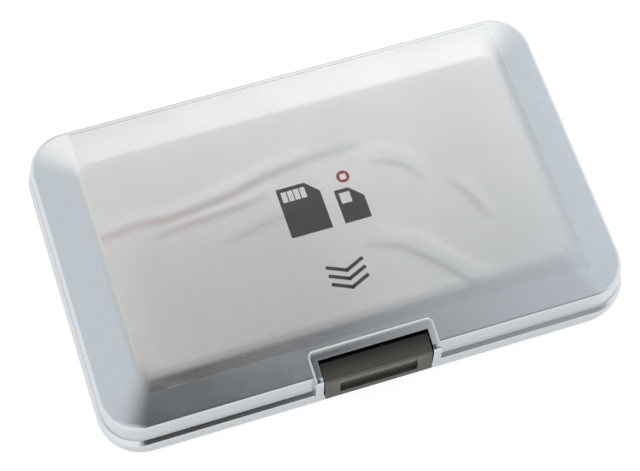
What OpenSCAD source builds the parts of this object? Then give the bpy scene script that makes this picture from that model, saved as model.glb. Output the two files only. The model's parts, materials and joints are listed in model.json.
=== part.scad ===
// Clamshell case for memory cards: two embossed metal skins on moulded frames,
// hinged at the back and held shut at the front by a sprung pull lever.
// Millimetres. +Z up, the lever at the front (-Y), the case lying closed on its lower panel.

/* [Outline] */
// Width between the feet of the side slopes
case_w = 108; // [104:1:130]
// Depth between the feet of the front and back slopes
case_d = 67; // [64:1:90]
// Corner radius at the foot of the slopes
corner_r = 7.3; // [6.5:0.1:12]

/* [Raised panels] */
// Height of each raised panel above the foot of its slopes
plateau_rise = 2.4; // [1.8:0.1:3]
// Run of the slopes at the two sides
side_slope = 8.7; // [7:0.1:11]
// Run of the slopes at the front and back
front_slope = 9; // [8:0.1:11]
// Corner radius of the raised panel
plateau_r = 3.5; // [2.5:0.1:6]
// Radius that blends a raised panel into its slopes
crease_r = 9; // [6:0.5:26]
// Radius of the edge between a slope and its wall
edge_r = 1.1; // [0.4:0.1:1.5]

/* [Heights] */
// Height of the lid wall
lid_wall = 5.8; // [5.4:0.1:8]
// Height of the base wall, rim included
base_wall = 6.2; // [5.8:0.1:8]
// Open seam between lid and base
seam_gap = 0.2; // [0.1:0.05:0.4]
// How much wider the lid grows from the foot of its slopes to the seam, each side
lid_flare = 0.3; // [0.1:0.1:0.5]

/* [Base rim] */
// How far the rim stands out past the foot of the lid's slopes
rim_out = 1; // [0.8:0.1:1.4]
// Height of the rim
rim_h = 2.7; // [2.2:0.1:3.2]
// How far the rim's bevel reaches inwards from its outer face
bevel_w = 0.95; // [0.5:0.05:1.1]
// How far the rim's bevel reaches down from its top
bevel_h = 1.1; // [0.5:0.1:1.3]
// Radius of the edge under the bevel
bevel_r = 0.8; // [0.3:0.1:1]
// Thickness of the rim, from its outer face inwards
rim_t = 1.3; // [1.1:0.05:1.35]
// Open joint between the rim and the base skin
joint_gap = 0.2; // [0.1:0.05:0.4]
// How far the base skin stands out at the foot of its slopes
base_out = 0.6; // [0.4:0.1:0.8]
// How much wider the base skin grows up to the rim, each side
base_flare = 0.3; // [0.1:0.1:0.4]

/* [Walls] */
// Thickness of the metal skins
skin_t = 0.8; // [0.5:0.1:0.9]
// Glue line between a skin and its frame
bond_gap = 0.05; // [0.02:0.01:0.1]
// Thickness of the frames behind the raised panels
frame_t = 1; // [0.8:0.1:1.2]
// Depth of the frames' side walls, from the foot line of the lid inwards
wall_depth = 2.4; // [2.3:0.1:3]

/* [Seal] */
// Width of the sealing strip
seal_w = 0.65; // [0.5:0.05:0.7]
// Height of the sealing strip
seal_h = 0.8; // [0.6:0.05:1]
// Depth of the strip's inner edge behind the lid's foot line
seal_depth = 1.7; // [1.65:0.05:1.8]
// Play between the strip and its groove
seal_play = 0.05; // [0.03:0.01:0.08]

/* [Cards] */
// Width of a large card
large_w = 42.8; // [38:0.1:44]
// Length of a large card
large_l = 36.4; // [30:0.1:38]
// Thickness of a large card
large_t = 3.3; // [3:0.1:3.4]
// Width of a small card
small_w = 24; // [20:0.1:26]
// Length of a small card
small_l = 32; // [25:0.1:34]
// Thickness of a small card
small_t = 2.1; // [1.4:0.1:2.4]
// Play round a card in its pocket
card_play = 0.3; // [0.1:0.05:0.5]

/* [Trays] */
// Pockets for large cards, in the base
large_pockets = 2; // [1:1:2]
// Pockets for small cards, in the lid
small_pockets = 3; // [1:1:3]
// Spare depth over a large card
large_spare = 1.1; // [0.8:0.1:1.2]
// Spare depth over a small card
small_spare = 0.8; // [0.6:0.1:1]
// Web between two large pockets
large_web = 4.4; // [2:0.1:6]
// Web between two small pockets
small_web = 4; // [2:0.1:8]
// Corner radius of the pockets
pocket_r = 1.2; // [0.5:0.1:2]
// Radius of the finger notch at the front of each pocket
notch_r = 7; // [5:0.5:8]
// Depth of the base tray's face below the rim
base_tray_drop = 1.2; // [1:0.1:1.3]
// Depth of the lid tray's face above the lid's open edge
lid_tray_drop = 1.3; // [1:0.1:1.6]
// Play between a tray and its frame
tray_play = 0.15; // [0.1:0.05:0.3]

/* [Hinges] */
// Distance of each hinge's middle from the nearer side of the case
hinge_in = 20; // [17:1:34]
// Length of one hinge
hinge_w = 14; // [10:0.5:18]
// Outer radius of the hinge knuckles
knuckle_r = 1.35; // [1.2:0.05:1.5]
// Radius of the hinge pins
hinge_pin_r = 0.55; // [0.4:0.05:0.6]
// Gap between neighbouring knuckles
knuckle_gap = 0.2; // [0.1:0.05:0.4]
// Gap between lid wall and rim when the lid is folded flat
fold_gap = 0.2; // [0.15:0.05:0.3]
// Air round a knuckle in the other half's wall
knuckle_air = 0.25; // [0.2:0.05:0.3]
// Height of the arm that carries a lid knuckle
arm_h = 1.6; // [1.2:0.1:1.8]

/* [Pins] */
// Radial play of a turning pin
run_play = 0.05; // [0.03:0.01:0.08]
// Radial play of a held pin
hold_play = 0.02; // [0.01:0.01:0.03]

/* [Latch surround] */
// Outer width of the surround
surround_w = 26; // [22:0.5:32]
// Width of each leg
leg_w = 1.65; // [1.5:0.05:2]
// Width of the bar across the top
bar_w = 2.1; // [1.8:0.1:2.4]
// Distance of the bar's back edge from the foot line, up the slope
bar_back = 5.1; // [4.9:0.1:5.5]
// Height of the surround above the lid
surround_proud = 0.35; // [0.3:0.05:0.5]
// Width of the bevel round the surround's outer edge
surround_bevel_w = 0.55; // [0.2:0.05:0.6]
// Height of that bevel
surround_bevel_h = 0.22; // [0.1:0.02:0.24]
// Radius of the surround's corners, seen from above
surround_r = 1.3; // [0.8:0.1:1.6]
// Distance of the legs' face in front of the foot line, at the shoulder
leg_out = 1.4; // [1.2:0.1:1.5]
// Distance of the legs' face in front of the foot line, at the lower end
leg_out_low = 1.6; // [1.5:0.1:1.7]
// Depth of the legs' lower end below the foot line
leg_drop = 7.2; // [6.7:0.1:7.2]
// Width of each leg's lap, which lies in front of the rim
leg_lap = 0.55; // [0.4:0.05:0.7]
// Air between that lap and the rim
lap_air = 0.15; // [0.1:0.05:0.2]
// Radius of the shoulder of legs and lever
shoulder_r = 1.6; // [1.4:0.1:1.7]
// Seat of the surround in the skin, at each side
seat_lap = 0.4; // [0.3:0.05:0.5]

/* [Latch lever] */
// Gap between the lever and the surround
lever_gap = 0.25; // [0.2:0.05:0.4]
// Depth of the lever's top face below the lid's slope, at the shoulder
lever_sink = 0.2; // [0.1:0.05:0.3]
// Depth of its back edge below the lid's slope
lever_back_sink = 0.4; // [0.3:0.05:0.45]
// Distance of the lever's face in front of the foot line, at the shoulder
lever_out = 1.3; // [1.2:0.05:1.4]
// Distance of the lever's face in front of the foot line, at the lower end
lever_out_low = 2.1; // [1.9:0.05:2.2]
// Depth of the lever's lower end below the foot line
lever_drop = 7.3; // [7.1:0.1:7.4]
// Depth of the lever's inner face in front of the foot line
lever_in = 0.45; // [0.4:0.05:0.5]
// Radius of the lever's back edge
lever_edge_r = 0.35; // [0.3:0.05:0.6]
// Distance of the pivot behind the foot line
pivot_in = 2; // [1.9:0.05:2.1]
// Depth of the pivot below the foot line
pivot_drop = 1.2; // [1.1:0.05:1.3]
// Radius of the pivot pin
pivot_r = 0.5; // [0.4:0.05:0.6]
// Outer radius of the lever's pivot barrels
barrel_r = 1.1; // [1:0.05:1.2]

/* [Finger grip] */
// Width of the finger grip
grip_w = 16; // [12:0.5:18]
// Top of the finger grip below the foot line
grip_top = 1.6; // [1.6:0.1:2.4]
// Ledge of the finger grip below the foot line
grip_low = 5.7; // [5:0.1:6.3]
// Back of the finger grip at its ledge, in front of the foot line
grip_back = 1.05; // [1:0.05:1.2]

/* [Hook and catch] */
// Width of the catch lip
catch_w = 12; // [8:0.5:18]
// Reach of the catch lip
catch_reach = 0.4; // [0.3:0.05:0.45]
// Thickness of the catch lip
catch_t = 0.5; // [0.4:0.05:0.6]
// Thickness of the hook
hook_t = 0.35; // [0.3:0.05:0.4]
// Air between the tips of hook and catch
hook_air = 0.1; // [0.08:0.01:0.15]
// Air below the lever in the notch in the rim
notch_air = 0.3; // [0.2:0.05:0.4]
// Depth of the notch in the rim, from its outer face
notch_depth = 1.5; // [1.4:0.05:1.6]

/* [Latch spring] */
// Diameter of the spring wire
wire_d = 0.4; // [0.3:0.05:0.4]
// Length of the spring's coil
coil_l = 5; // [3:0.5:8]
// Gap at each end of the coil
coil_gap = 0.4; // [0.2:0.1:1]
// Length of the spring's leg behind the lever
spring_leg = 2.6; // [1.5:0.1:2.7]

/* [Protective film] */
// Distance of the film's left edge inside the foot line
film_left = 9.6; // [4:0.1:14]
// Distance of the film's right edge inside the foot line
film_right = 7.5; // [4:0.1:14]
// Distance of the film's front edge behind the latch surround
film_front = 0.9; // [0.3:0.1:8]
// Distance of the film's back edge inside the foot line
film_back = 1.3; // [1.1:0.1:8]
// Thickness of the film
film_t = 0.1; // [0.05:0.01:0.15]

/* [Hidden] */
eps = 0.01;                       // how far joined pieces of one solid run into each other
cut = 1;                          // how far a cutting shape runs past what it cuts
round_fn = 64;
corner_steps = 8;
edge_steps = 3;
crease_steps = 4;

base_top = plateau_rise + base_wall;
lid_edge = base_top + seam_gap;
lid_h = lid_wall + plateau_rise;
case_h = lid_edge + lid_h;
lid_foot = lid_edge + lid_wall;
rim_low = base_top - rim_h;
front = -case_d / 2;

frame_in = skin_t + bond_gap;     // from a skin's outer face to its frame
room_in = frame_in + frame_t;     // from a skin's outer face to the room inside
seal_room = seal_w + 2 * seal_play;

hinge_x = case_w / 2 - hinge_in;
hinge_y = case_d / 2 + (rim_out + lid_flare + fold_gap) / 2;
hinge_z = base_top + seam_gap / 2;
knuckle_l = (hinge_w - 2 * knuckle_gap) / 4;   // each outer knuckle; the middle one is twice as long
middle_w = 2 * knuckle_l;
arm_back = 2 * hinge_y - case_d / 2 - rim_out - fold_gap;

slope_tan = plateau_rise / front_slope;
slope_cos = cos(atan(slope_tan));
opening_w = surround_w - 2 * leg_w;
lever_w = opening_w - 2 * lever_gap;
bar_front = bar_back - bar_w;
window_w = surround_w - 2 * seat_lap;
window_back = bar_back - bar_w / 2;
housing_t = 0.8;                  // walls of the latch housing behind the window
lever_air = 0.75;                 // room under the lever's barrels
housing_low = pivot_drop + barrel_r + lever_air;
hook_w = catch_w - 2;
spring_w = coil_l + 2 * coil_gap;
coil_r = pivot_r + run_play + wire_d;
film_air = 0.03;

silver = [0.76, 0.77, 0.79];
taupe = [0.38, 0.36, 0.33];
black = [0.08, 0.08, 0.09];
charcoal = [0.2, 0.2, 0.22];
steel = [0.6, 0.6, 0.62];

// A rectangle with round corners
module round_rect(w, d, r) {
    square([w - 2 * r, d], center = true);
    square([w, d - 2 * r], center = true);
    for (x = [-1, 1], y = [-1, 1])
        translate([x * (w / 2 - r), y * (d / 2 - r)]) circle(r, $fn = round_fn);
}

// The case outline, moved outwards by out
module outline(out) round_rect(case_w + 2 * out, case_d + 2 * out, corner_r + out);

// Points of a round-cornered loop at height z. out_x and out_y move its sides past the foot line.
function ring(out_x, out_y, r, z) = [
    for (q = [[1, 1, 0], [-1, 1, 90], [-1, -1, 180], [1, -1, 270]], k = [0:corner_steps])
        let (a = q[2] + 90 * k / corner_steps)
            [q[0] * (case_w / 2 + out_x - r) + r * cos(a), q[1] * (case_d / 2 + out_y - r) + r * sin(a), z]
];
function wall_ring(out, z) = ring(out, out, corner_r + out, z);

// A closed solid through a stack of rings, lowest first
module loft(rings) {
    n = len(rings[0]);
    last = len(rings) - 1;
    polyhedron(points = [for (r = rings, p = r) p], faces = concat(
        [[for (i = [0:n - 1]) i]],
        [for (k = [0:last - 1], i = [0:n - 1]) [k * n + i, (k + 1) * n + i, (k + 1) * n + (i + 1) % n]],
        [for (k = [0:last - 1], i = [0:n - 1]) [k * n + i, (k + 1) * n + (i + 1) % n, k * n + (i + 1) % n]],
        [[for (i = [n - 1:-1:0]) last * n + i]]));
}

// One half as a solid: raised panel down at z = 0, open edge up at z = h. wall_in and face_in move
// its walls and its panel inwards, and over carries the walls straight on past the open edge.
module half_solid(out_foot, out_edge, h, wall_in = 0, face_in = 0, round_r = 0, over = 0) {
    run = out_foot + front_slope;
    side_share = (out_foot + side_slope) / run;
    tilt = atan(plateau_rise / run);
    blend = crease_r - face_in;
    reach = blend * tan(tilt / 2);
    round_z = plateau_rise - round_r * tan(tilt) + round_r / cos(tilt);
    panel = [for (k = [0:crease_steps])
        let (a = tilt * k / crease_steps, d = blend * sin(a) - reach, s = 1 - d / run)
            ring(d * side_share - side_slope, d - front_slope,
                (corner_r + out_foot) * (1 - s) + plateau_r * s, face_in + blend * (1 - cos(a)))];
    foot = round_r > 0
        ? [for (k = [edge_steps:-1:0]) let (a = (90 - tilt) * k / edge_steps)
            wall_ring(out_foot - round_r * (1 - cos(a)), round_z - round_r * sin(a))]
        : [wall_ring(out_foot - wall_in, plateau_rise * (1 - wall_in / run) + face_in)];
    edge = [for (z = over > 0 ? [h, h + over] : [h]) wall_ring(out_edge - wall_in, z)];
    loft(concat(panel, foot, edge));
}

// Turns a half over, so that it becomes the lid
module as_lid() translate([0, 0, case_h]) mirror([0, 0, 1]) children();

// A drawing of the latch from its side, stretched to width w along X. Drawing coordinates are the
// distance behind the lid's front foot line and the height above it.
module latch_side(w) {
    translate([0, front, lid_foot]) rotate([90, 0, 90]) translate([0, 0, -w / 2])
        linear_extrude(w) children();
}
module both_sides(x) for (s = [-1, 1]) translate([s * x, 0, 0]) children();
module box(x0, x1, y0, y1, z0, z1) translate([x0, y0, z0]) cube([x1 - x0, y1 - y0, z1 - z0]);

// A cylinder of length w on the hinge line
module on_hinge(r, w) translate([0, hinge_y, hinge_z]) rotate([0, 90, 0])
    cylinder(r = r, h = w, center = true, $fn = round_fn);
// The same on the lever's pivot
module on_pivot(r, w) translate([0, front + pivot_in, lid_foot - pivot_drop]) rotate([0, 90, 0])
    cylinder(r = r, h = w, center = true, $fn = round_fn);

module base_skin() {
    h = rim_low - joint_gap;
    color(silver) difference() {
        half_solid(base_out, base_out + base_flare, h, round_r = edge_r);
        half_solid(base_out, base_out + base_flare, h, wall_in = skin_t, face_in = skin_t, over = cut);
    }
}

// Room in the base for the lower ends of lever and legs
module latch_notch() {
    w = surround_w / 2 - leg_lap + lap_air;
    box(-w, w, front - rim_out - cut, front - rim_out + notch_depth,
        lid_foot - lever_drop - notch_air, base_top + cut);
}

// The ring that edges the base, with a bevel along its outer top edge
module base_rim() {
    w = hinge_w / 2 + knuckle_gap;
    tilt = atan(bevel_w / bevel_h);
    round_z = base_top - bevel_h - bevel_r * tan(tilt / 2);
    color(silver) difference() {
        loft(concat([wall_ring(rim_out, rim_low)],
            [for (k = [0:edge_steps]) let (a = tilt * k / edge_steps)
                wall_ring(rim_out - bevel_r * (1 - cos(a)), round_z + bevel_r * sin(a))],
            [wall_ring(rim_out - bevel_w, base_top)]));
        translate([0, 0, rim_low - cut]) linear_extrude(rim_h + 2 * cut) outline(rim_out - rim_t);
        latch_notch();
        both_sides(hinge_x)
            box(-w, w, case_d / 2 - rim_t, case_d / 2 + rim_out + cut,
                hinge_z - arm_h - knuckle_air, base_top + cut);
    }
}

module seal_groove() {
    translate([0, 0, base_top - seal_h + seam_gap / 2]) linear_extrude(seal_h + cut) difference() {
        outline(seal_room - seal_depth - seal_play);
        outline(-seal_depth - seal_play);
    }
}

module base_frame() {
    face = front - rim_out + notch_depth;
    color(black) difference() {
        union() {
            difference() {
                union() {
                    half_solid(base_out, base_out + base_flare, rim_low - bond_gap,
                        wall_in = frame_in, face_in = frame_in);
                    translate([0, 0, plateau_rise + frame_in]) linear_extrude(base_wall - frame_in)
                        outline(rim_out - rim_t - bond_gap);
                }
                half_solid(base_out, base_out, base_top, wall_in = base_out + wall_depth,
                    face_in = room_in, over = cut);
                latch_notch();
                seal_groove();
            }
            box(-catch_w / 2, catch_w / 2, face - catch_reach, face + eps, base_top - catch_t, base_top);
            for (s = [-1, 1]) both_sides(hinge_x) translate([s * (hinge_w - knuckle_l) / 2, 0, 0]) {
                on_hinge(knuckle_r, knuckle_l);
                box(-knuckle_l / 2, knuckle_l / 2, case_d / 2 - seal_depth / 2, case_d / 2 + rim_out,
                    hinge_z - arm_h, base_top);
            }
        }
        both_sides(hinge_x) {
            on_hinge(knuckle_r + knuckle_air, middle_w + 2 * knuckle_gap);
            on_hinge(hinge_pin_r + hold_play, hinge_w + cut);
        }
    }
}

module seam_seal() {
    color(charcoal) translate([0, 0, base_top - seal_h + seam_gap / 2]) linear_extrude(seal_h - eps)
        difference() {
            outline(seal_w - seal_depth);
            outline(-seal_depth);
        }
}

// A row of card pockets with finger notches, open towards +Z, with their floor at z = floor_z
module pockets(count, w, l, web, floor_z, top_z) {
    pitch = w + 2 * card_play + web;
    for (i = [0:count - 1]) translate([(i - (count - 1) / 2) * pitch, 0, floor_z]) {
        linear_extrude(top_z - floor_z + cut) round_rect(w + 2 * card_play, l + 2 * card_play, pocket_r);
        translate([0, -l / 2, 0]) cylinder(r = notch_r, h = top_z - floor_z + cut, $fn = round_fn);
    }
}

module base_tray() {
    top = base_top - base_tray_drop;
    color(charcoal) difference() {
        half_solid(base_out, base_out, top, wall_in = base_out + wall_depth + tray_play,
            face_in = room_in + tray_play);
        pockets(large_pockets, large_w, large_l, large_web, top - large_t - large_spare, top);
    }
}

module hinge_pin(x) color(steel) translate([x, 0, 0]) on_hinge(hinge_pin_r, hinge_w);
module hinge_pin_left() hinge_pin(-hinge_x);
module hinge_pin_right() hinge_pin(hinge_x);

// What the hinges need cut out of the lid's back wall
module lid_hinge_cuts() {
    w = hinge_w / 2 + knuckle_gap;
    both_sides(hinge_x)
        box(-w, w, case_d / 2 - 2 * skin_t, hinge_y + cut, lid_edge - cut, hinge_z + arm_h + knuckle_air);
}

module lid_skin() {
    color(silver) difference() {
        as_lid() half_solid(0, lid_flare, lid_h, round_r = edge_r);
        as_lid() half_solid(0, lid_flare, lid_h, wall_in = skin_t, face_in = skin_t, over = cut);
        box(-window_w / 2, window_w / 2, front - lid_flare - cut, front + window_back,
            lid_edge - cut, lid_foot + plateau_rise);
        lid_hinge_cuts();
    }
}

// Walls of the latch housing in the side view: they stand on the frame's front wall and roof
module housing_outline() {
    inner = frame_in + frame_t / 2;
    back = window_back + housing_t;
    low = -housing_low - housing_t;
    polygon([[inner, low], [back, low], [back, slope_tan * back - inner], [inner, slope_tan * inner - inner]]);
}

module lid_frame() {
    hw = window_w / 2 + bond_gap;
    color(black) difference() {
        union() {
            difference() {
                as_lid() half_solid(0, lid_flare, lid_h, wall_in = frame_in, face_in = frame_in);
                as_lid() half_solid(0, 0, lid_h, wall_in = wall_depth, face_in = room_in, over = cut);
                both_sides(hinge_x) on_hinge(knuckle_r + knuckle_air, hinge_w + 2 * knuckle_gap);
            }
            latch_side(2 * (hw + housing_t)) housing_outline();
            both_sides(hinge_x) {
                on_hinge(knuckle_r, middle_w);
                box(-middle_w / 2, middle_w / 2, case_d / 2 - frame_in - frame_t / 2, arm_back,
                    lid_edge, hinge_z + arm_h);
            }
        }
        box(-hw, hw, front - cut, front + window_back, lid_foot - housing_low, case_h);
        both_sides(hinge_x) on_hinge(hinge_pin_r + run_play, hinge_w);
    }
}

module lid_tray() {
    h = lid_h - lid_tray_drop;
    hw = window_w / 2 + bond_gap + housing_t + 2 * tray_play;
    color(charcoal) difference() {
        as_lid() difference() {
            half_solid(0, 0, h, wall_in = wall_depth + tray_play, face_in = room_in + tray_play);
            pockets(small_pockets, small_w, small_l, small_web, h - small_t - small_spare, h);
        }
        box(-hw, hw, front, front + window_back + housing_t + 2 * tray_play, lid_edge, case_h);
    }
}

module protective_film() {
    color([0.8, 0.85, 0.9, 0.3]) intersection() {
        difference() {
            as_lid() half_solid(0, lid_flare, lid_h, face_in = -film_air - film_t);
            as_lid() half_solid(0, lid_flare, lid_h, face_in = -film_air);
        }
        box(film_left - case_w / 2, case_w / 2 - film_right, front + bar_back + film_front,
            case_d / 2 - film_back, lid_foot - plateau_rise, case_h + cut);
    }
}

// The legs' outer line, closed across the inside of the case
module leg_outline() {
    low_r = 0.25;
    hull() {
        translate([bar_back - eps, slope_tan * bar_back + surround_proud - eps]) square(eps);
        translate([shoulder_r - leg_out,
            slope_tan * (shoulder_r - leg_out) + surround_proud - shoulder_r / slope_cos])
            circle(shoulder_r, $fn = round_fn);
        translate([low_r - leg_out_low, low_r - leg_drop]) circle(low_r, $fn = round_fn);
        translate([-lid_flare, low_r - leg_drop]) circle(low_r, $fn = round_fn);
        translate([bar_back - eps, -leg_drop / 2]) square(eps);
    }
}

// The lid's own side view, with a glue line over it
module lid_side_view() {
    far = 2 * bar_back;
    polygon([[-bond_gap, 0], [far, slope_tan * far + bond_gap], [far, -2 * lid_wall],
        [-lid_flare - bond_gap, -2 * lid_wall], [-lid_flare - bond_gap, -lid_wall]]);
}

// The part of each leg that fills the window in the skin and carries the pivot pin
module cheek_outline() {
    difference() {
        inner_outline();
        translate([window_back - bond_gap, -2 * leg_drop]) square(4 * leg_drop);
        translate([frame_in - lid_flare - bond_gap, -2 * leg_drop])
            square([leg_drop, 2 * leg_drop - housing_low + bond_gap]);
        translate([-lid_flare - bond_gap + eps, -2 * leg_drop]) square([leg_drop, 2 * leg_drop - lid_wall]);
    }
}

// The surround's outer line in the side view, at a distance inside its side
function surround_slice(side) = let (
    low_r = 0.25,
    turn = max(0, surround_r - side),
    inner_r = surround_r - surround_bevel_w,
    back = bar_back - surround_r + sqrt(surround_r * surround_r - turn * turn),
    inner = bar_back - surround_r - eps + sqrt(max(0, inner_r * inner_r - turn * turn)),
    drop = surround_bevel_h * max(0, 1 - side / surround_bevel_w),
    start = 90 + atan(slope_tan),
    shoulder = [shoulder_r - leg_out,
        slope_tan * (shoulder_r - leg_out) + surround_proud - shoulder_r / slope_cos],
    low = [low_r - leg_out_low, low_r - leg_drop],
    line = low - shoulder,
    face = 360 + atan2(line[1], line[0]) - acos((shoulder_r - low_r) / norm(line)))
    concat([[-lid_flare, -leg_drop], [back, -leg_drop / 2],
            [back, slope_tan * back + surround_proud - surround_bevel_h],
            [inner, slope_tan * inner + surround_proud - drop]],
        [for (k = [0:6]) let (a = start + (face - start) * k / 6)
            shoulder + shoulder_r * [cos(a), sin(a)] - [0, drop * max(0, sin(a))]],
        [for (k = [0:2]) let (a = face + (270 - face) * k / 2) low + low_r * [cos(a), sin(a)]]);

// The surround's outer form, with round corners and a bevel round its top
module surround_form() {
    half = acos(1 - surround_bevel_w / surround_r);
    sides = concat([for (k = [0:3]) surround_r * (1 - cos(half * k / 4))],
        [for (k = [0:4]) surround_r * (1 - cos(half + (90 - half) * k / 4))]);
    last = len(sides) - 1;
    loft(concat(
        [for (k = [0:last]) [for (p = surround_slice(sides[k]))
            [sides[k] - surround_w / 2, front + p[0], lid_foot + p[1]]]],
        [for (k = [last:-1:0]) [for (p = surround_slice(sides[k]))
            [surround_w / 2 - sides[k], front + p[0], lid_foot + p[1]]]]));
}

// The legs' outer line below that bevel
module inner_outline() intersection() {
    leg_outline();
    translate([0, -surround_bevel_h]) leg_outline();
}

module latch_surround() {
    cheek_w = leg_w - seat_lap;
    color(silver) difference() {
        union() {
            difference() {
                surround_form();
                latch_side(surround_w + cut) lid_side_view();
            }
            both_sides((opening_w + cheek_w) / 2) latch_side(cheek_w) cheek_outline();
            latch_side(window_w) intersection() {
                inner_outline();
                polygon([[bar_front, slope_tan * bar_front - surround_proud],
                    [window_back - bond_gap, slope_tan * window_back - surround_proud],
                    [window_back - bond_gap, lid_wall], [bar_front, lid_wall]]);
            }
        }
        latch_side(opening_w) translate([bar_front - case_d, -case_d]) square([case_d, 2 * case_d]);
        latch_side(opening_w) translate([0, -case_d - housing_low / 2]) square(case_d);
        for (s = [-1, 1]) translate([s * (surround_w / 2 - leg_lap / 2 + cut / 2), 0, 0])
            box(-(leg_lap + cut) / 2, (leg_lap + cut) / 2, front - rim_out - lap_air, front + cut,
                lid_foot - 2 * leg_drop, lid_edge);
        on_pivot(pivot_r + hold_play, surround_w - 2 * seat_lap + eps);
    }
}

// The lever from its side: a rounded plate, the barrel round its pivot and the hook
module lever_outline() {
    low_r = 0.35;
    in_r = 0.15;
    back = bar_front - lever_gap - lever_edge_r;
    difference() {
        hull() {
            translate([back, slope_tan * back - lever_back_sink - lever_edge_r / slope_cos])
                circle(lever_edge_r, $fn = round_fn);
            translate([shoulder_r - lever_out,
                slope_tan * (shoulder_r - lever_out) - lever_sink - shoulder_r / slope_cos])
                circle(shoulder_r, $fn = round_fn);
            translate([low_r - lever_out_low, low_r - lever_drop]) circle(low_r, $fn = round_fn);
            translate([-lever_in, in_r - lever_drop]) circle(in_r, $fn = round_fn);
        }
        polygon([[-lever_in, -2 * lever_drop], [-lever_in, -pivot_drop - 1.5 * shoulder_r],
            [pivot_in - barrel_r - shoulder_r / 2, -pivot_drop - barrel_r],
            [case_d, -pivot_drop - barrel_r], [case_d, -2 * lever_drop]]);
    }
}

module latch_lever() {
    hook_tip = notch_depth - rim_out - catch_reach - hook_air;
    color(taupe) difference() {
        union() {
            latch_side(lever_w) lever_outline();
            on_pivot(barrel_r, lever_w);
            latch_side(hook_w) translate([-lever_in - eps, -lever_drop])
                square([hook_tip + lever_in + eps, hook_t]);
        }
        on_pivot(pivot_r + run_play, lever_w + cut);
        on_pivot(barrel_r + run_play, spring_w);
        latch_side(spring_w) translate([pivot_in - barrel_r - 2 * wire_d, -pivot_drop - 2 * barrel_r])
            square([4 * barrel_r, 2 * barrel_r]);
        latch_side(grip_w) polygon([[-lever_out, -grip_top], [-grip_back, -grip_low],
            [-2 * lever_out_low, -grip_low], [-2 * lever_out_low, -grip_top]]);
    }
}

module latch_pin() color(steel) on_pivot(pivot_r, surround_w - 2 * seat_lap - 2 * bond_gap);

// A straight piece of spring wire that leaves the coil at an angle in the side view
module spring_leg_wire(x, angle, l) {
    translate([x, front + pivot_in, lid_foot - pivot_drop]) rotate([angle, 0, 0])
        translate([0, wire_d / 4 - coil_r, -l]) cylinder(d = wire_d, h = l, $fn = round_fn);
}

module latch_spring() {
    color(steel) {
        difference() {
            on_pivot(coil_r, coil_l);
            on_pivot(pivot_r + run_play, coil_l + cut);
        }
        spring_leg_wire(wire_d - coil_l / 2, -25, spring_leg);
        spring_leg_wire(coil_l / 2 - wire_d, 110, spring_leg / 2);
    }
}

base_skin();
base_rim();
base_frame();
seam_seal();
base_tray();
hinge_pin_left();
hinge_pin_right();
lid_skin();
lid_frame();
lid_tray();
protective_film();
latch_surround();
latch_lever();
latch_pin();
latch_spring();
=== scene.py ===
import json
import math

import bmesh
import bpy
from mathutils import Matrix, Vector

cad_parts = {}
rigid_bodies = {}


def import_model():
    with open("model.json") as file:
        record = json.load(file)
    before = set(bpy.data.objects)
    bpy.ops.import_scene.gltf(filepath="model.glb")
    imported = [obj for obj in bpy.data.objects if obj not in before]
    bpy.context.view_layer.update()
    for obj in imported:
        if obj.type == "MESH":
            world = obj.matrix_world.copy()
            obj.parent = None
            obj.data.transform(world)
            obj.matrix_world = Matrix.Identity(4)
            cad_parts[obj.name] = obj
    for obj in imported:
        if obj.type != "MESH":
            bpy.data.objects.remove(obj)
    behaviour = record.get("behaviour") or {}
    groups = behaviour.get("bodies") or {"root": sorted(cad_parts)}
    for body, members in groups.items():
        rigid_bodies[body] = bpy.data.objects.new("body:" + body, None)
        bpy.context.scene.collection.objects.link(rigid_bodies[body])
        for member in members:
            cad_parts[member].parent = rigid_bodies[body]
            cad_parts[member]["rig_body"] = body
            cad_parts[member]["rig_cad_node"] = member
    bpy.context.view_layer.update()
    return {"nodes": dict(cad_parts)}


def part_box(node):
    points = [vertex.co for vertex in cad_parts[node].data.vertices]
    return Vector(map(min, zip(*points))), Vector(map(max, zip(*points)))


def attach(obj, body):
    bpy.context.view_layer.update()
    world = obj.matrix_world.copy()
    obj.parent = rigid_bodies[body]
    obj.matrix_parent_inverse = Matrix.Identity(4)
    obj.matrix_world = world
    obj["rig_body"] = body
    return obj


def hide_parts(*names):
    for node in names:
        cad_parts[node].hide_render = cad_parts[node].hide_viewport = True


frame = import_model()

MM = 0.001

# Sizes of the case in millimetres, as in the construction. Heights are above the table.
RIM_LOW = 5.9
BASE_TOP = 8.6
LID_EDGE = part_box("lid_skin")[0].z / MM
LID_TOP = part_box("lid_skin")[1].z / MM
PLATEAU_RISE = 2.4
LID_FLARE = 0.3
CASE_W = (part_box("lid_skin")[1].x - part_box("lid_skin")[0].x) / MM - 2 * LID_FLARE
CASE_D = (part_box("lid_skin")[1].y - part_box("lid_skin")[0].y) / MM - 2 * LID_FLARE
FRONT = -CASE_D / 2
CORNER_R = 7.3
SIDE_SLOPE = 8.7
FRONT_SLOPE = 9.0
PLATEAU_R = 3.5
CREASE_R = 9.0
EDGE_R = 1.1
SKIN_T = 0.8
LIP_R = 0.38
FOOT_TURN = 1.3
BASE_OUT = 0.6
BASE_FLARE = 0.3
JOINT_GAP = 0.2
RIM_OUT = 1.0
RIM_T = 1.3
BEVEL_W = 0.95
BEVEL_H = 1.1
BEVEL_R = 0.8
RIM_LIP = 0.15
HINGE_X = 34.0
HINGE_W = 14.4
HINGE_CUT_TOP = 10.55
RIM_CUT_LOW = 6.85
WINDOW_W = 25.2
WINDOW_BACK = 4.05
NOTCH_W = 25.2
NOTCH_LOW = 7.0
PIVOT_Y = (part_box("latch_pin")[0].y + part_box("latch_pin")[1].y) / 2 / MM
PIVOT_Z = (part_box("latch_pin")[0].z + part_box("latch_pin")[1].z) / 2 / MM
WIRE_D = 0.4
WIRE_R = 0.45 * WIRE_D
COIL_L = 5.0
COIL_R = 0.75
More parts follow.
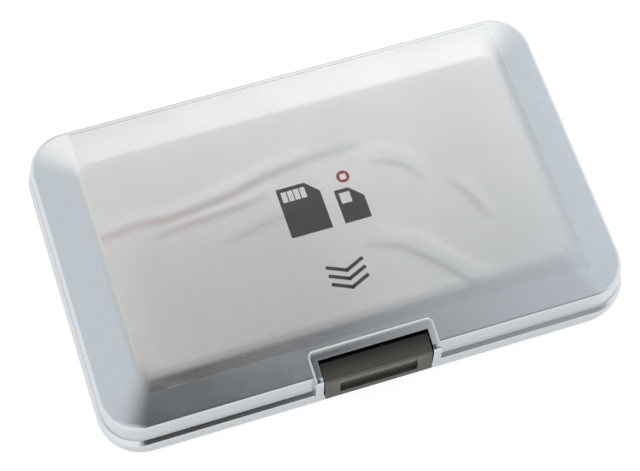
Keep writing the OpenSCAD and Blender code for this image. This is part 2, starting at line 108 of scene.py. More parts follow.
SPRING_LEG = 2.6
FILM_LOW = [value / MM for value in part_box("protective_film")[0]]
FILM_HIGH = [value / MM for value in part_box("protective_film")[1]]
FILM_T = 0.1
FILM_AIR = 0.03

CORNER_STEPS = 16
CREASE_STEPS = 10
EDGE_STEPS = 6


# Helpers for modelling
def deselect():
    if bpy.context.mode != "OBJECT":
        bpy.ops.object.mode_set(mode="OBJECT")
    bpy.ops.object.select_all(action="DESELECT")


def pick(obj):
    deselect()
    obj.select_set(True)
    bpy.context.view_layer.objects.active = obj
    return obj


def apply_place(obj):
    pick(obj)
    bpy.ops.object.transform_apply(location=True, rotation=True, scale=True)
    return obj


def modify(obj, kind, **values):
    """Adds a modifier with the given settings and applies it."""
    pick(obj)
    bpy.ops.object.modifier_add(type=kind)
    modifier = obj.modifiers[-1]
    for key, value in values.items():
        setattr(modifier, key, value)
    bpy.ops.object.modifier_apply(modifier=modifier.name)
    return obj


def block(name, low, high):
    """A box between two corners in millimetres."""
    deselect()
    middle = [(a + b) / 2 * MM for a, b in zip(low, high)]
    bpy.ops.mesh.primitive_cube_add(size=1, location=middle)
    obj = bpy.context.object
    obj.name = name
    obj.scale = [(b - a) * MM for a, b in zip(low, high)]
    return apply_place(obj)


def cut_away(obj, cutters):
    """Subtracts the cutters from obj and deletes them."""
    for cutter in cutters:
        modify(obj, "BOOLEAN", operation="DIFFERENCE", solver="EXACT", object=cutter)
        bpy.data.objects.remove(cutter)
    return obj


def joined(name, parts):
    pick(parts[0])
    for part in parts[1:]:
        part.select_set(True)
    bpy.ops.object.join()
    parts[0].name = name
    return parts[0]


def outward(obj):
    pick(obj)
    bpy.ops.object.mode_set(mode="EDIT")
    bpy.ops.mesh.select_all(action="SELECT")
    bpy.ops.mesh.remove_doubles(threshold=0.002 * MM)
    bpy.ops.mesh.normals_make_consistent(inside=False)
    bpy.ops.object.mode_set(mode="OBJECT")
    return obj


def smooth(obj, angle=30):
    pick(obj)
    bpy.ops.object.shade_smooth_by_angle(angle=math.radians(angle))
    return obj


def finish_piece(obj, body, slot, material, *nodes):
    obj.data.materials.clear()
    obj.data.materials.append(material)
    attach(obj, body)
    if nodes:
        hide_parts(*nodes)
    return obj


# Round-cornered shells, drawn as a stack of rings
def first_ring(name, ring):
    """A flat face with round corners: (width, depth, radius, height)."""
    width, depth, radius, height = ring
    deselect()
    bpy.ops.mesh.primitive_plane_add(size=1, location=(0, 0, height * MM))
    obj = bpy.context.object
    obj.name = name
    obj.scale = (width * MM, depth * MM, 1)
    apply_place(obj)
    bpy.ops.object.mode_set(mode="EDIT")
    bpy.ops.mesh.select_all(action="SELECT")
    bpy.ops.mesh.bevel(offset=radius * MM, segments=CORNER_STEPS, affect="VERTICES")
    return obj


def select_corner(obj, sign_x, sign_y):
    """Selects the points in one corner, of those that aren't hidden."""
    bpy.ops.mesh.select_all(action="DESELECT")
    mesh = bmesh.from_edit_mesh(obj.data)
    for vert in mesh.verts:
        if not vert.hide and vert.co.x * sign_x > 0 and vert.co.y * sign_y > 0:
            vert.select_set(True)
    mesh.select_flush_mode()
    bmesh.update_edit_mesh(obj.data)


def next_ring(obj, old, new):
    """Extrudes the open edge to a ring of another size, corner radius and height."""
    bpy.ops.mesh.extrude_edges_move(TRANSFORM_OT_translate={"value": (0, 0, (new[3] - old[3]) * MM)})
    bpy.ops.mesh.hide(unselected=True)
    scale = new[2] / old[2]
    for sign_x, sign_y in ((1, 1), (-1, 1), (-1, -1), (1, -1)):
        select_corner(obj, sign_x, sign_y)
        centre = (sign_x * (old[0] / 2 - old[2]) * MM, sign_y * (old[1] / 2 - old[2]) * MM, new[3] * MM)
        shift = (sign_x * ((new[0] - old[0]) / 2 - new[2] + old[2]) * MM,
                 sign_y * ((new[1] - old[1]) / 2 - new[2] + old[2]) * MM, 0)
        bpy.ops.transform.resize(value=(scale, scale, 1), center_override=centre)
        bpy.ops.transform.translate(value=shift)
    bpy.ops.mesh.select_all(action="SELECT")


def ring_stack(name, rings, ring_shaped=False):
    """A closed solid through rings. ring_shaped joins the last ring to the first."""
    bpy.context.scene.tool_settings.mesh_select_mode = (True, False, False)
    obj = first_ring(name, rings[0])
    if ring_shaped:
        bpy.ops.mesh.delete(type="ONLY_FACE")
        bpy.ops.mesh.select_all(action="SELECT")
    for old, new in zip(rings, rings[1:]):
        next_ring(obj, old, new)
    if not ring_shaped:
        bpy.ops.mesh.edge_face_add()
    bpy.ops.mesh.reveal(select=False)
    bpy.ops.object.mode_set(mode="OBJECT")
    return outward(obj)


def wall_ring(out, height, turn=0.0):
    return CASE_W + 2 * out, CASE_D + 2 * out, CORNER_R + turn + out, height


def panel_rings(out_foot, sink):
    """Rings of a raised panel from its flat top to the start of the edge round its slopes. Heights
    count down from the panel's outer face, and sink moves the rings inwards by a wall."""
    run = out_foot + FRONT_SLOPE
    share = (out_foot + SIDE_SLOPE) / run
    tilt = math.atan(PLATEAU_RISE / run)
    blend = CREASE_R - sink
    reach = blend * math.tan(tilt / 2)
    rings = []
    for step in range(CREASE_STEPS + 1):
        angle = tilt * step / CREASE_STEPS
        along = blend * math.sin(angle) - reach
        top_share = 1 - along / run
        rings.append((CASE_W + 2 * (along * share - SIDE_SLOPE), CASE_D + 2 * (along - FRONT_SLOPE),
                      (CORNER_R + FOOT_TURN + out_foot) * (1 - top_share) + PLATEAU_R * top_share,
                      -sink - blend * (1 - math.cos(angle))))
    return rings, tilt


def skin_rings(out_foot, out_edge, wall):
    """Rings of one whole skin, from the middle of its outer face round its lip to the inside."""
    outer, tilt = panel_rings(out_foot, 0)
    round_z = PLATEAU_RISE - EDGE_R * math.tan(tilt) + EDGE_R / math.cos(tilt)
    for step in range(EDGE_STEPS + 1):
        angle = tilt + (math.pi / 2 - tilt) * step / EDGE_STEPS
        outer.append(wall_ring(out_foot - EDGE_R * (1 - math.sin(angle)), -round_z + EDGE_R * math.cos(angle),
                               FOOT_TURN * (1 - 0.6 * step / EDGE_STEPS)))
    lip = []
    for step in range(EDGE_STEPS + 1):
        angle = math.pi * step / EDGE_STEPS
        side = LIP_R if step <= EDGE_STEPS / 2 else SKIN_T - LIP_R
        lip.append(wall_ring(out_edge - side + LIP_R * math.cos(angle), -wall + LIP_R - LIP_R * math.sin(angle)))
    inner, _ = panel_rings(out_foot, SKIN_T)
    inner.append(wall_ring(out_foot - SKIN_T, -PLATEAU_RISE - SKIN_T + SKIN_T * math.tan(tilt), FOOT_TURN))
    return outer + lip + inner[::-1]


def to_lid(rings):
    return [(w, d, r, LID_TOP + z) for w, d, r, z in rings]


def to_base(rings):
    return [(w, d, r, -z) for w, d, r, z in rings]


def hinge_cutters(y_from, y_to, low, high):
    return [block("hinge_cut", (x - HINGE_W / 2, y_from, low), (x + HINGE_W / 2, y_to, high))
            for x in (-HINGE_X, HINGE_X)]


# Camera, at the photograph's viewing angle. Azimuth 0 looks along +Y.
CAMERA_AZIMUTH = math.radians(-21.662)
CAMERA_ELEVATION = math.radians(64.368)
CAMERA_ROLL = math.radians(-3.912)
CAMERA_DISTANCE = 390.375
CAMERA_TARGET = (-2.291, -4.514, 14.6)
CAMERA_LENS = 109.46


def make_camera():
    cos_a, sin_a = math.cos(CAMERA_AZIMUTH), math.sin(CAMERA_AZIMUTH)
    cos_e, sin_e = math.cos(CAMERA_ELEVATION), math.sin(CAMERA_ELEVATION)
    back = Vector((sin_a * cos_e, -cos_a * cos_e, sin_e))
    right = Vector((cos_a, sin_a, 0))
    up = back.cross(right)
    turned_right = right * math.cos(CAMERA_ROLL) - up * math.sin(CAMERA_ROLL)
    turned_up = right * math.sin(CAMERA_ROLL) + up * math.cos(CAMERA_ROLL)
    camera = bpy.data.objects.new("camera", bpy.data.cameras.new("camera"))
    bpy.context.scene.collection.objects.link(camera)
    camera.data.lens = CAMERA_LENS
    camera.data.sensor_width = 36
    camera.data.clip_start = 0.01
    place = Matrix((turned_right, turned_up, back)).transposed().to_4x4()
    place.translation = Vector(CAMERA_TARGET) * MM + back * CAMERA_DISTANCE * MM
    camera.matrix_world = place
    bpy.context.scene.camera = camera


make_camera()


# Materials
class Nodes:
    """Adds nodes to a node tree and links them."""

    def __init__(self, tree):
        self.tree = tree

    def add(self, kind, inputs=(), **settings):
        node = self.tree.nodes.new(kind)
        for key, value in settings.items():
            setattr(node, key, value)
        for key, value in dict(inputs).items():
            if isinstance(value, bpy.types.NodeSocket):
                self.tree.links.new(value, node.inputs[key])
            else:
                node.inputs[key].default_value = value
        return node

    def math(self, operation, a, b=0.0, clamp=False):
        return self.add("ShaderNodeMath", {0: a, 1: b}, operation=operation, use_clamp=clamp).outputs[0]

    def vector(self, operation, a, b=(0, 0, 0)):
        return self.add("ShaderNodeVectorMath", {0: a, 1: b}, operation=operation).outputs[0]

    def scaled(self, colour, share):
        return self.add("ShaderNodeVectorMath", {0: colour, "Scale": share}, operation="SCALE").outputs[0]

    def ramp(self, value, low, high, out_low=0.0, out_high=1.0):
        """Maps low..high smoothly to out_low..out_high."""
        return self.add("ShaderNodeMapRange", {"Value": value, "From Min": low, "From Max": high,
                        "To Min": out_low, "To Max": out_high}, interpolation_type="SMOOTHSTEP").outputs[0]

    def noise(self, place, size, detail=2.0, roughness=0.5):
        """Noise whose grains are about size millimetres across."""
        return self.add("ShaderNodeTexNoise", {"Vector": place, "Scale": 1 / (size * MM), "Detail": detail,
                        "Roughness": roughness}).outputs["Fac"]

    def mix(self, share, a, b):
        return self.add("ShaderNodeMix", {0: share, 6: a, 7: b}, data_type="RGBA").outputs[2]

    def glow(self, towards, axis, low, high, colour):
        """Light of one colour round an axis. low and high are cosines of the angle to the axis."""
        toward_axis = self.add("ShaderNodeVectorMath", {0: towards, 1: Vector(axis).normalized()},
                               operation="DOT_PRODUCT").outputs[1]
        return self.scaled(colour, self.ramp(toward_axis, low, high))


def new_material(name, **sockets):
    material = bpy.data.materials.new(name)
    material.use_nodes = True
    nodes = Nodes(material.node_tree)
    shader = material.node_tree.nodes["Principled BSDF"]
    for key, value in sockets.items():
        shader.inputs[key.replace("_", " ")].default_value = value
    place = nodes.add("ShaderNodeTexCoord").outputs["Object"]
    return material, nodes, shader, place


def shaded(colour, share):
    return tuple(min(1, c * share) for c in colour[:3]) + (1,)


def satin_silver(name, colour, roughness=0.24, grain=0.16):
    """Silver metallic finish with a fine flake grain."""
    material, nodes, shader, place = new_material(name, Metallic=1.0)
    flakes = nodes.noise(place, grain, detail=2, roughness=0.6)
    clouds = nodes.noise(place, 14.0, detail=2)
    tone = nodes.mix(nodes.ramp(flakes, 0.35, 0.65), shaded(colour, 0.93), shaded(colour, 1.04))
    nodes.tree.links.new(tone, shader.inputs["Base Color"])
    rough = nodes.math("ADD", nodes.ramp(flakes, 0.3, 0.7, roughness - 0.02, roughness + 0.02),
                       nodes.ramp(clouds, 0.3, 0.7, -0.015, 0.015))
    nodes.tree.links.new(rough, shader.inputs["Roughness"])
    bump = nodes.add("ShaderNodeBump", {"Height": flakes, "Strength": 0.05, "Distance": 0.004 * MM})
    nodes.tree.links.new(bump.outputs[0], shader.inputs["Normal"])
    return material


def add_grain(nodes, shader, fine, roughness, strength):
    """Gives a plastic a roughness and a shallow bump that follow a fine noise."""
    spread = 0.05
    rough = nodes.ramp(fine, 0.3, 0.7, roughness - spread, roughness + spread)
    nodes.tree.links.new(rough, shader.inputs["Roughness"])
    bump = nodes.add("ShaderNodeBump", {"Height": fine, "Strength": strength, "Distance": 0.02 * MM})
    nodes.tree.links.new(bump.outputs[0], shader.inputs["Normal"])


def moulded_plastic(name, colour, roughness=0.45, grain=0.2, strength=0.15):
    material, nodes, shader, place = new_material(name)
    broad = nodes.noise(place, 6.0, detail=2)
    tone = nodes.mix(nodes.ramp(broad, 0.3, 0.7), shaded(colour, 0.9), shaded(colour, 1.08))
    nodes.tree.links.new(tone, shader.inputs["Base Color"])
    add_grain(nodes, shader, nodes.noise(place, grain, detail=3), roughness, strength)
    return material


def lever_plastic(name, colour, roughness):
    """Smooth plastic with painted shade: darker towards the back, where the lever turns down under the lid's slope,
    and a little darker below 12.5 to 13.5 mm above the table.
    """
    material, nodes, shader, place = new_material(name)
    _, y, height = nodes.add("ShaderNodeSeparateXYZ", {0: place}).outputs
    # Painted shade: the colour falls to 0.15 of itself at the back of the lever and to about 0.8 of itself low down.
    unshaded_share = nodes.math("MULTIPLY", nodes.ramp(y, -0.031, -0.0345), nodes.ramp(height, 0.0125, 0.0135, 0.75))
    tone = nodes.mix(unshaded_share, shaded(colour, 0.15), colour)
    nodes.tree.links.new(tone, shader.inputs["Base Color"])
    add_grain(nodes, shader, nodes.noise(place, 0.3, detail=3), roughness, 0.08)
    return material


def drawn_steel(name, tone=1.0):
    material, nodes, shader, place = new_material(name, Metallic=1.0)
    stretched = nodes.add("ShaderNodeMapping", {"Vector": place, "Scale": (0.05, 1, 1)}).outputs[0]
    lines = nodes.noise(stretched, 0.08, detail=2)
    metal = nodes.mix(lines, shaded((0.5, 0.5, 0.52), tone), shaded((0.68, 0.68, 0.7), tone))
    nodes.tree.links.new(metal, shader.inputs["Base Color"])
    nodes.tree.links.new(nodes.ramp(lines, 0.3, 0.7, 0.22, 0.36), shader.inputs["Roughness"])
    return material


def clear_film(name):
    """Thin clear plastic with a warm cast towards its left, a painted iridescent reflection in a warmer patch at its
    front left corner, painted shade over its front left, and painted shade and painted highlight along its folds."""
    material, nodes, shader, place = new_material(name, Transmission_Weight=1.0, IOR=1.36)
    x, y, _ = nodes.add("ShaderNodeSeparateXYZ", {0: place}).outputs
    leftward = nodes.ramp(x, 0.012, -0.047)
    # Painted reflection: a warmer patch at the front left corner stands in for the film's iridescent sheen there. The
    # warm cast towards the left is the film's own tint.
    corner = nodes.math("MULTIPLY", nodes.ramp(x, -0.02, -0.043), nodes.ramp(y, -0.016, -0.026))
    clouds = nodes.noise(place, 8.0, detail=3)
    warm_tint_and_sheen = nodes.math("MULTIPLY", nodes.math("ADD", leftward, corner), nodes.ramp(clouds, 0.25, 0.75, 0.8, 1.2))
    inward = nodes.math("MULTIPLY", nodes.ramp(nodes.math("ABSOLUTE", x), 0.045, 0.033),
                        nodes.ramp(nodes.math("ABSOLUTE", y), 0.029, 0.019))
    # Painted shade over the film's front left, which darkens it to about 0.88 of the clear colour.
    painted_shade_x = nodes.math("MULTIPLY", nodes.ramp(x, 0.012, -0.012), nodes.ramp(x, -0.045, -0.034))
    painted_shade_y = nodes.math("MULTIPLY", nodes.ramp(y, 0.012, -0.004), nodes.ramp(y, -0.0295, -0.023))
    clear = nodes.mix(inward, (0.99, 0.99, 0.99, 1), (0.95, 0.95, 0.95, 1))
    clear = nodes.mix(nodes.math("MULTIPLY", painted_shade_x, painted_shade_y), clear, (0.885, 0.88, 0.88, 1))
    flat = nodes.mix(nodes.math("MULTIPLY", warm_tint_and_sheen, 0.5, clamp=True), clear, (0.975, 0.945, 0.935, 1))
    # Painted shade along the folds where fold_shade is above zero, and painted highlight where it is below zero.
    shade = nodes.add("ShaderNodeAttribute", attribute_name="fold_shade").outputs["Fac"]
    # Colour of the painted shade along the folds, warmer towards the left.
    fold = nodes.mix(leftward, (0.80, 0.81, 0.82, 1), (0.87, 0.80, 0.775, 1))
    darkened = nodes.mix(nodes.math("MULTIPLY", shade, 1.0, clamp=True), flat, fold)
    film_colour_with_painted_folds = nodes.mix(nodes.math("MULTIPLY", shade, -1.0, clamp=True), darkened, (1.0, 1.0, 1.0, 1))
    nodes.tree.links.new(film_colour_with_painted_folds, shader.inputs["Base Color"])
    nodes.tree.links.new(nodes.ramp(clouds, 0.3, 0.7, 0.06, 0.12), shader.inputs["Roughness"])
    return material


SILVER = (0.64, 0.652, 0.664, 1)
LID_SILVER = satin_silver("lid_silver", SILVER)
BASE_SILVER = satin_silver("base_silver", SILVER)
RIM_SILVER = satin_silver("rim_silver", SILVER, roughness=0.16)
SURROUND_SILVER = satin_silver("surround_silver", SILVER, roughness=0.17)
BLACK_FRAME = moulded_plastic("frame_black", (0.018, 0.018, 0.02, 1), roughness=0.5)
TAUPE = lever_plastic("lever_taupe", (0.048, 0.0445, 0.034, 1), roughness=0.24)
TRAY_FOAM = moulded_plastic("tray_charcoal", (0.035, 0.035, 0.038, 1), roughness=0.75, grain=0.5, strength=0.5)
SEAL_RUBBER = moulded_plastic("seal_rubber", (0.02, 0.02, 0.02, 1), roughness=0.8)
STEEL = drawn_steel("drawn_steel")
DARK_STEEL = drawn_steel("dark_steel", 0.3)
DARK_INK = moulded_plastic("ink_dark", (0.01, 0.01, 0.016, 1), roughness=0.4, grain=0.1)
RED_INK = moulded_plastic("ink_red", (0.5, 0.004, 0.006, 1), roughness=0.4, grain=0.1)
FILM = clear_film("film_clear")


# Lid
def make_lid_skin():
    lid = ring_stack("lid_shell", to_lid(skin_rings(0, LID_FLARE, LID_TOP - LID_EDGE)))
    half = WINDOW_W / 2
    window = block("window_cut", (-half, FRONT - 2, LID_EDGE - 1), (half, FRONT + WINDOW_BACK, LID_TOP + 1))
    cut_away(lid, [window] + hinge_cutters(CASE_D / 2 - 2 * SKIN_T, CASE_D / 2 + 3, LID_EDGE - 1, HINGE_CUT_TOP))
    smooth(lid)
    return finish_piece(lid, "lid", "lid_metal", LID_SILVER, "lid_skin")


# Printed pictograms on the lid: a large and a small card, a red dot and arrows towards the latch
INK_LOW = LID_TOP + 0.002
INK_HIGH = LID_TOP + 0.016


def ink_block(x0, x1, y0, y1):
    return block("ink", (x0, y0, INK_LOW), (x1, y1, INK_HIGH))


def rounded(obj, radius, segments=6):
    """Rounds the upright edges of a flat piece."""
    pick(obj)
    bpy.ops.object.mode_set(mode="EDIT")
    bpy.ops.mesh.select_all(action="DESELECT")
    mesh = bmesh.from_edit_mesh(obj.data)
    for edge in mesh.edges:
        edge.select_set(abs(edge.verts[0].co.z - edge.verts[1].co.z) > (INK_HIGH - INK_LOW) / 2 * MM)
    mesh.select_flush_mode()
    bmesh.update_edit_mesh(obj.data)
    bpy.ops.mesh.bevel(offset=radius * MM, segments=segments, affect="EDGES")
    bpy.ops.object.mode_set(mode="OBJECT")
    return obj


def turned_block(name, centre, size, degrees):
    """A flat block turned about its upright axis."""
    obj = block(name, (-size[0] / 2, -size[1] / 2, INK_LOW), (size[0] / 2, size[1] / 2, INK_HIGH))
    obj.rotation_euler.z = math.radians(degrees)
    obj.location = (centre[0] * MM, centre[1] * MM, 0)
    return apply_place(obj)


def card_sign(x, y, width, height, contacts):
    """A card seen from its back: a dark plate with one cut corner and a row of bare contacts."""
    plate = rounded(ink_block(x, x + width, y, y + height), 0.5)
    corner = turned_block("corner_cut", (x + width, y + height), (3.4, 3.4), 45)
    pitch = (width - 3.4) / contacts
    slots = [ink_block(x + 0.9 + k * pitch, x + 0.9 + (k + 0.62) * pitch, y + height - 3.1, y + height - 1.0)
             for k in range(contacts)]
    for slot in slots + [corner]:
        modify(slot, "SOLIDIFY", thickness=0.5 * MM, offset=0)
    return cut_away(plate, slots + [corner])


def make_print():
    dark = [card_sign(-8.2, -4.6, 8.6, 11.2, 4), card_sign(3.0, -4.6, 5.6, 7.6, 3)]
    for row in range(3):
        y = -13.6 - row * 1.9
        for side in (-1, 1):
            dark.append(turned_block("arrow", (side * 1.75, y), (4.6, 0.75), side * 24))
    print_dark = joined("print_dark", dark)
    finish_piece(print_dark, "lid", "lid_metal", DARK_INK)
    deselect()
    bpy.ops.mesh.primitive_cylinder_add(vertices=48, radius=1.35 * MM, depth=(INK_HIGH - INK_LOW) * MM,
                                        location=(5.8 * MM, 5.6 * MM, (INK_LOW + INK_HIGH) / 2 * MM))
    dot = bpy.context.object
    dot.name = "print_red"
    hole = block("hole", (5.15, 4.95, INK_LOW - 1), (6.45, 6.25, INK_HIGH + 1))
    finish_piece(cut_away(apply_place(dot), [hole]), "lid", "lid_metal", RED_INK)


# Protective film over the lid. Each fold is a row of points in millimetres, its height, its width and the strength of
# the shade painted along it, which is below zero where a highlight is painted along it instead.
FOLDS = (
    (((-44.6, 6.6), (-37, 7.5), (-30, 7.0), (-24, 7.5), (-17, 8.4), (-9, 10.4), (0, 11.6), (10, 11.9)), 0.2, 1.5, 1.0),
    (((-44, 8.6), (-37, 9.6), (-30, 9.1), (-24, 9.8), (-17, 10.9), (-9, 13.0), (0, 13.8)), 0.05, 1.5, -0.8),
    (((-33.3, 3.9), (-27, 4.6), (-21.2, 4.9), (-15, 5.4), (-10.6, 6.2)), 0.2, 1.3, 0.9),
    (((-30.1, 5.6), (-22, 6.2), (-15, 7.0), (-10, 7.8)), 0.05, 0.9, -0.6),
    (((-21, -1.4), (-14.5, -0.2), (-5.7, 1.2)), 0.1, 1.4, 0.6),
    (((12.3, 7.1), (16.8, 5.9), (19.5, 3.4), (21.4, 0.6)), 0.14, 1.0, 0.6),
    (((10.4, 9.4), (15.7, 9.6), (19.8, 7.4), (23, 4.0)), 0.1, 1.5, -0.7),
    (((6.1, -10.0), (12.1, -12.5), (17.1, -17.2), (20.7, -21.4), (23.5, -24.8)), 0.2, 1.3, 0.75),
    (((9.5, -7.8), (15.6, -10.9), (19.5, -15.2), (24.5, -20.6), (28, -24.5)), 0.16, 1.7, -1.0),
    (((26.2, -1.4), (28.7, -5.2), (31.0, -11.4)), 0.16, 1.0, 0.6),
    (((28.0, -0.8), (30.6, -4.8), (33.0, -11.0)), 0.05, 1.1, -0.5),
    (((-45.2, -25.6), (-40, -27.6), (-33, -28.6)), 0.25, 1.1, -0.4))
FILM_CELL = 0.6


def nearest_on(points, x, y):
    """Distance from a place to a row of points, and how far along the row it lies, 0 to 1."""
    best = (1e9, 0.0)
    for index, ((x0, y0), (x1, y1)) in enumerate(zip(points, points[1:])):
        length = (x1 - x0) ** 2 + (y1 - y0) ** 2
        share = max(0.0, min(1.0, ((x - x0) * (x1 - x0) + (y - y0) * (y1 - y0)) / length))
        gap = math.hypot(x - x0 - share * (x1 - x0), y - y0 - share * (y1 - y0))
        best = min(best, (gap, (index + share) / (len(points) - 1)))
    return best


def fold_at(x, y):
    """How far the film stands off the lid at a place, in millimetres, and how much shade the folds paint there, below
    zero where they paint a highlight.
    """
    height = shade = 0.0
    for points, rise, width, dark in FOLDS:
        gap, along = nearest_on(points, x, y)
        if gap < 2 * width:
            share = math.exp(-(gap / width * 1.5) ** 2) * math.sin(math.pi * (0.1 + 0.8 * along)) ** 0.7
            height += rise * share
            shade += dark * share
    return height, shade


def make_film(lid):
    width, depth = FILM_HIGH[0] - FILM_LOW[0], FILM_HIGH[1] - FILM_LOW[1]
    deselect()
    bpy.ops.mesh.primitive_grid_add(
        x_subdivisions=round(width / FILM_CELL), y_subdivisions=round(depth / FILM_CELL), size=1,
        location=((FILM_LOW[0] + FILM_HIGH[0]) / 2 * MM, (FILM_LOW[1] + FILM_HIGH[1]) / 2 * MM, 2 * LID_TOP * MM))
    film = bpy.context.object
    film.name = "film"
    film.scale = (width * MM, depth * MM, 1)
    apply_place(film)
    modify(film, "SHRINKWRAP", target=lid, wrap_method="PROJECT", use_project_z=True,
           use_negative_direction=True, use_positive_direction=False)
    shade_layer = film.data.attributes.new("fold_shade", "FLOAT", "POINT")
    for vert in film.data.vertices:
        height, shade = fold_at(vert.co.x / MM, vert.co.y / MM)
        vert.co.z += (FILM_AIR + height) * MM
        shade_layer.data[vert.index].value = shade
    modify(film, "SOLIDIFY", thickness=FILM_T * MM, offset=1)
    smooth(outward(film), 40)
    return finish_piece(film, "lid", "clear_film", FILM, "protective_film")


# Base
def make_base_skin():
    height = RIM_LOW - JOINT_GAP
    base = ring_stack("base_shell", to_base(skin_rings(BASE_OUT, BASE_OUT + BASE_FLARE, height)))
    smooth(base)
    finish_piece(base, "base", "base_metal", BASE_SILVER, "base_skin")


def make_rim():
    tilt = math.atan(BEVEL_W / BEVEL_H)
    round_z = BASE_TOP - BEVEL_H - BEVEL_R * math.tan(tilt / 2)
    rings = [wall_ring(RIM_OUT - RIM_LIP, RIM_LOW), wall_ring(RIM_OUT, RIM_LOW + RIM_LIP)]
    for step in range(EDGE_STEPS + 1):
        angle = tilt * step / EDGE_STEPS
        rings.append(wall_ring(RIM_OUT - BEVEL_R * (1 - math.cos(angle)), round_z + BEVEL_R * math.sin(angle)))
    rings += [wall_ring(RIM_OUT - BEVEL_W, BASE_TOP), wall_ring(RIM_OUT - RIM_T, BASE_TOP),
              wall_ring(RIM_OUT - RIM_T, RIM_LOW), wall_ring(RIM_OUT - RIM_LIP, RIM_LOW)]
    rim = ring_stack("rim", rings, ring_shaped=True)
    half = NOTCH_W / 2
    notch = block("notch_cut", (-half, FRONT - 3, NOTCH_LOW), (half, FRONT + 2, BASE_TOP + 1))
    cut_away(rim, [notch] + hinge_cutters(CASE_D / 2 - RIM_T, CASE_D / 2 + 3, RIM_CUT_LOW, BASE_TOP + 1))
    smooth(rim)
    finish_piece(rim, "base", "rim_metal", RIM_SILVER, "base_rim")


def soften(node, body, slot, material, width, segments=3, angle=50):
    """Stands a copy of a construction piece with rounded edges in its place."""
    pick(frame["nodes"][node])
    bpy.ops.object.duplicate()
    obj = bpy.context.object
    obj.name = node + "_soft"
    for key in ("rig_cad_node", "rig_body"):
        if key in obj:
            del obj[key]
    obj.parent = None
    obj.data.materials.clear()
    bpy.ops.object.mode_set(mode="EDIT")
    bpy.ops.mesh.select_all(action="SELECT")
    bpy.ops.mesh.remove_doubles(threshold=0.002 * MM)
    bpy.ops.mesh.dissolve_limited(angle_limit=math.radians(1.0))
    bpy.ops.object.mode_set(mode="OBJECT")
    modify(obj, "BEVEL", width=width * MM, segments=segments, limit_method="ANGLE",
           angle_limit=math.radians(angle), use_clamp_overlap=True)
    smooth(obj, 35)
    modify(obj, "WEIGHTED_NORMAL", keep_sharp=True)
    return finish_piece(obj, body, slot, material, node)


# Latch spring
def make_spring():
    """A coil of wire round the latch pin, wound with the screw modifier, and its two straight legs."""
    deselect()
    turns = round(COIL_L / WIRE_D) - 1
    bpy.ops.mesh.primitive_circle_add(vertices=10, radius=WIRE_R * MM, location=(0, 0, COIL_R * MM),
                                      rotation=(math.radians(90), 0, 0))
    coil = apply_place(bpy.context.object)
    modify(coil, "SCREW", axis="X", angle=math.radians(360), screw_offset=WIRE_D * MM, iterations=turns,
           steps=24, render_steps=24, use_merge_vertices=False)
    pick(coil)
    bpy.ops.object.mode_set(mode="EDIT")
    bpy.ops.mesh.select_all(action="SELECT")
    bpy.ops.mesh.fill_holes(sides=0)
    bpy.ops.object.mode_set(mode="OBJECT")
    coil.location = (-turns / 2 * WIRE_D * MM, PIVOT_Y * MM, PIVOT_Z * MM)
    legs = [spring_leg(WIRE_D - COIL_L / 2, -25, SPRING_LEG), spring_leg(COIL_L / 2 - WIRE_D, 110, SPRING_LEG / 2)]
    spring = joined("spring_coil", [apply_place(coil)] + legs)
    smooth(outward(spring), 60)
    finish_piece(spring, "lid", "spring_steel", DARK_STEEL, "latch_spring")


def spring_leg(x, degrees, length):
    """A straight piece of wire that leaves the coil at its own angle in the side view."""
    deselect()
    bpy.ops.mesh.primitive_cylinder_add(vertices=10, radius=WIRE_R * MM, depth=length * MM, location=(
        0, -COIL_R * MM, -length / 2 * MM))
    leg = apply_place(bpy.context.object)
    leg.rotation_euler.x = math.radians(degrees)
    leg.location = (x * MM, PIVOT_Y * MM, PIVOT_Z * MM)
    return apply_place(leg)


def dress_node(node, material):
    obj = frame["nodes"][node]
    obj.data.materials.clear()
    obj.data.materials.append(material)


make_film(make_lid_skin())
make_print()
make_base_skin()
make_rim()
make_spring()
soften("latch_surround", "lid", "surround_silver", SURROUND_SILVER, 0.1, segments=2)
soften("latch_lever", "latch", "lever_plastic", TAUPE, 0.14)
soften("base_tray", "base", "tray_rubber", TRAY_FOAM, 0.4, segments=4)
soften("lid_tray", "lid", "tray_rubber", TRAY_FOAM, 0.4, segments=4)
for cad_node, cad_material in {
        "base_frame": BLACK_FRAME, "lid_frame": BLACK_FRAME, "seam_seal": SEAL_RUBBER,
        "hinge_pin_left": STEEL, "hinge_pin_right": STEEL, "latch_pin": DARK_STEEL}.items():
    dress_node(cad_node, cad_material)


# Surroundings
BACK_AXIS = (0.1, 0.75, 0.65)
BACK_WIDE = (0.64, 0.64, 0.63)
BACK_NARROW = (0.82, 0.82, 0.82)
SIDE_LIGHT = (0.77, 0.82, 0.86)
DIM_LIGHT = (0.035, 0.035, 0.035)
FLOOR_WHITE = (0.7, 0.7, 0.7, 1)
FLOOR_SEEN = 0.5
FLOOR_MIRRORED = 0.3


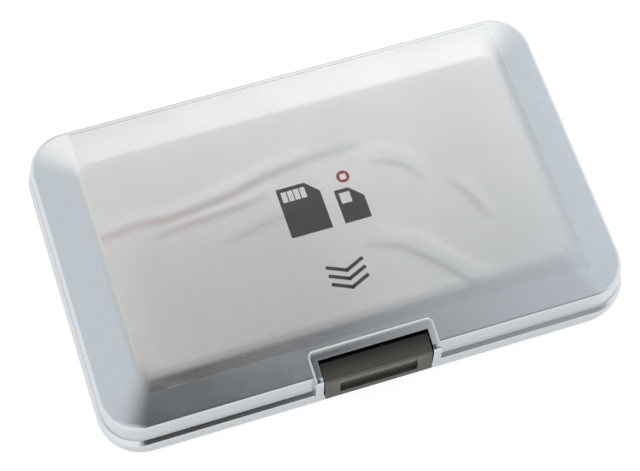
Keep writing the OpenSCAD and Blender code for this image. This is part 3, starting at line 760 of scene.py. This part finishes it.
def make_world():
    """A studio that is bright behind and beside the case and dark in front of it."""
    world = bpy.data.worlds.new("studio")
    bpy.context.scene.world = world
    world.use_nodes = True
    nodes = Nodes(world.node_tree)
    background = world.node_tree.nodes["Background"]
    towards = nodes.add("ShaderNodeTexCoord").outputs["Generated"]
    x, y, height = nodes.add("ShaderNodeSeparateXYZ", {0: towards}).outputs
    back = nodes.vector("ADD", nodes.glow(towards, BACK_AXIS, 0.53, 0.74, BACK_WIDE),
                        nodes.glow(towards, BACK_AXIS, 0.84, 0.99, BACK_NARROW))
    back = nodes.scaled(back, nodes.ramp(x, 0.02, 0.28, 0.93, 1.13))
    low_front = nodes.math("MULTIPLY", nodes.ramp(y, -0.55, -0.9), nodes.ramp(height, 0.75, 0.4))
    low_side = nodes.ramp(height, 0.55, 0.3, 1.0, 1.45)
    right = nodes.math("MULTIPLY", nodes.ramp(x, 0.07, 0.3), nodes.math("MULTIPLY", low_side,
                       nodes.math("SUBTRACT", 1.0, nodes.math("MULTIPLY", low_front, 0.65))))
    left = nodes.math("MULTIPLY", nodes.ramp(x, -0.04, -0.34), low_side)
    sides = nodes.scaled(SIDE_LIGHT, nodes.math("MAXIMUM", left, right))
    low = nodes.ramp(height, 0.12, 0.03, 0.0, 0.75)
    horizon = nodes.add("ShaderNodeCombineXYZ", {0: low, 1: low, 2: low}).outputs[0]
    light = nodes.vector("MAXIMUM", nodes.vector("MAXIMUM", back, sides), horizon)
    nodes.tree.links.new(nodes.vector("ADD", light, DIM_LIGHT), background.inputs["Color"])
    background.inputs["Strength"].default_value = 1.0


def make_floor():
    """A white floor, lit a little from within where the camera or a reflection sees it."""
    deselect()
    bpy.ops.mesh.primitive_plane_add(size=6, location=(0, 0, 0))
    floor = bpy.context.object
    floor.name = "floor"
    material = bpy.data.materials.new("floor_white")
    material.use_nodes = True
    nodes = Nodes(material.node_tree)
    material.node_tree.nodes.clear()
    path = nodes.add("ShaderNodeLightPath").outputs
    seen = nodes.math("MAXIMUM", nodes.math("MULTIPLY", path["Is Camera Ray"], FLOOR_SEEN), nodes.math("MULTIPLY",
                      nodes.math("MAXIMUM", path["Is Glossy Ray"], path["Is Transmission Ray"]), FLOOR_MIRRORED))
    diffuse = nodes.add("ShaderNodeBsdfDiffuse", {"Color": FLOOR_WHITE})
    glow = nodes.add("ShaderNodeEmission", {"Color": (1, 1, 1, 1), "Strength": seen})
    both = nodes.add("ShaderNodeAddShader", {0: diffuse.outputs[0], 1: glow.outputs[0]})
    output = nodes.add("ShaderNodeOutputMaterial", {"Surface": both.outputs[0]})
    output.is_active_output = True
    floor.data.materials.append(material)


def make_lamp(name, place, size, watts):
    """A round lamp that points at the case. Gloss and clear plastic don't show it."""
    lamp = bpy.data.objects.new(name, bpy.data.lights.new(name, "AREA"))
    bpy.context.scene.collection.objects.link(lamp)
    lamp.data.shape = "DISK"
    lamp.data.size = size
    lamp.data.energy = watts
    lamp.location = place
    lamp.visible_glossy = False
    lamp.visible_transmission = False
    lamp.rotation_euler = (-Vector(place)).to_track_quat("-Z", "Y").to_euler()


make_world()
make_floor()
make_lamp("window", (0.15, 0.8, 0.7), 0.6, 2.5)
make_lamp("front_fill", (-0.15, -0.9, 0.3), 0.5, 6)

bpy.context.scene.view_settings.view_transform = "Standard"
